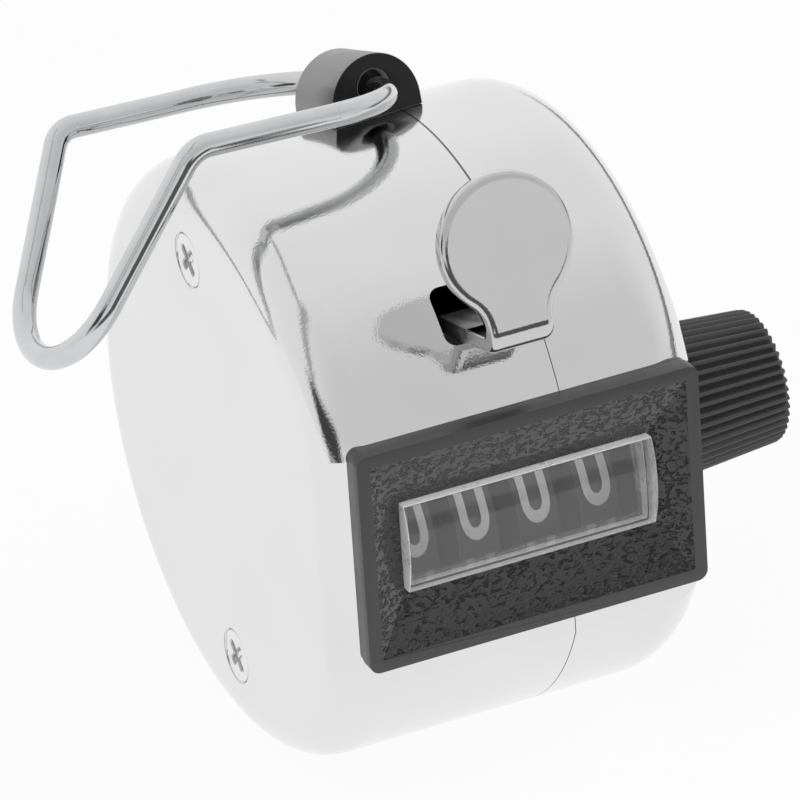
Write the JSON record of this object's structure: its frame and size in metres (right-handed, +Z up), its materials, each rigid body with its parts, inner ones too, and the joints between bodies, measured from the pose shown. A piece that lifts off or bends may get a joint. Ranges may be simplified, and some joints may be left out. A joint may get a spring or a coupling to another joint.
{
  "type": "hand tally counter",
  "caption": "Hand tally counter: round chrome case, thumb lever, number wheels behind a crowned window, ribbed reset knob and a hinged finger ring.",
  "frame": {"origin": "centre of the case's round left side face, on the case axis", "axes": "+X along the case axis from the left side face to the reset knob, -Y out of the window, +Z up towards the finger ring"},
  "size_m": [0.0546, 0.0449, 0.0513],
  "materials": {
    "chrome_case": "polished",
    "nickel_lever": "satin",
    "screw_steel": "polished",
    "black_moulding": "grained",
    "wheel_moulding": "satin",
    "clear_moulding": "polished",
    "brass": "satin",
    "inner_steel": "satin"
  },
  "bodies": {
    "case": {"left_shell": "chrome_case", "right_shell": "chrome_case", "bezel": "black_moulding", "window_lens": "clear_moulding", "case_screws": "screw_steel", "ring_ferrule": "black_moulding", "left_frame_plate": "inner_steel", "right_frame_plate": "inner_steel", "frame_pillars": "inner_steel", "case_posts": "inner_steel", "pinion_shaft": "inner_steel", "lever_pivot_pin": "inner_steel", "wheel_spacers": "brass", "shaft_bush": "brass", "detent_comb": "inner_steel", "units_click_spring": "inner_steel"},
    "lever": {"thumb_lever": "nickel_lever", "lever_return_spring": "inner_steel", "pawl_pin": "inner_steel", "pawl_spring": "inner_steel"},
    "pawl": {"drive_pawl": "inner_steel"},
    "reset": {"wheel_shaft": "inner_steel", "reset_knob": "black_moulding", "shaft_clips": "inner_steel"},
    "units": {"units_wheel": "wheel_moulding"},
    "tens": {"tens_wheel": "wheel_moulding"},
    "hundreds": {"hundreds_wheel": "wheel_moulding"},
    "thousands": {"thousands_wheel": "wheel_moulding"},
    "tens_transfer": {"tens_pinion": "brass"},
    "hundreds_transfer": {"hundreds_pinion": "brass"},
    "thousands_transfer": {"thousands_pinion": "brass"},
    "ring": {"finger_ring": "chrome_case"}
  },
  "joints": [
    {"name": "lever_press", "type": "hinge", "parent": "case", "child": "lever", "pos_m": [0.01475, -0.01441, 0.00604], "axis": [-1, 0, 0], "range_deg": [0, 15], "stiffness_Nm_per_rad": 0.15, "springref_deg": -22.92},
    {"name": "pawl_swing", "type": "hinge", "parent": "lever", "child": "pawl", "pos_m": [0.0245, 0.00575, 0.0031], "axis": [-1, 0, 0], "range_deg": [0, 7], "stiffness_Nm_per_rad": 0.002},
    {"name": "units_turn", "type": "hinge", "parent": "case", "child": "units", "pos_m": [0.02249, -0.0058, -0.0016], "axis": [-1, 0, 0], "range_deg": [0, 324]},
    {"name": "tens_turn", "type": "hinge", "parent": "case", "child": "tens", "pos_m": [0.01766, -0.0058, -0.0016], "axis": [-1, 0, 0], "range_deg": [0, 324]},
    {"name": "hundreds_turn", "type": "hinge", "parent": "case", "child": "hundreds", "pos_m": [0.01283, -0.0058, -0.0016], "axis": [-1, 0, 0], "range_deg": [0, 324]},
    {"name": "thousands_turn", "type": "hinge", "parent": "case", "child": "thousands", "pos_m": [0.008, -0.0058, -0.0016], "axis": [-1, 0, 0], "range_deg": [0, 324]},
    {"name": "tens_transfer_turn", "type": "hinge", "parent": "case", "child": "tens_transfer", "pos_m": [0.02, -0.00774, -0.01263], "axis": [-1, 0, 0], "range_deg": [-812, 2]},
    {"name": "hundreds_transfer_turn", "type": "hinge", "parent": "case", "child": "hundreds_transfer", "pos_m": [0.0152, -0.00774, -0.01263], "axis": [-1, 0, 0], "range_deg": [-812, 2]},
    {"name": "thousands_transfer_turn", "type": "hinge", "parent": "case", "child": "thousands_transfer", "pos_m": [0.0104, -0.00774, -0.01263], "axis": [-1, 0, 0], "range_deg": [-812, 2]},
    {"name": "reset_turn", "type": "hinge", "parent": "case", "child": "reset", "pos_m": [0.03, -0.0058, -0.0016], "axis": [-1, 0, 0], "continuous": true},
    {"name": "ring_swing", "type": "hinge", "parent": "case", "child": "ring", "pos_m": [0.016, 0.00716, 0.02343], "axis": [-0.1392, 0.947, -0.2895], "range_deg": [-8, 182]}
  ],
  "couplings": [
    {"joint": "tens_transfer_turn", "follows": "tens_turn", "ratio": -2.5},
    {"joint": "hundreds_transfer_turn", "follows": "hundreds_turn", "ratio": -2.5},
    {"joint": "thousands_transfer_turn", "follows": "thousands_turn", "ratio": -2.5}
  ]
}
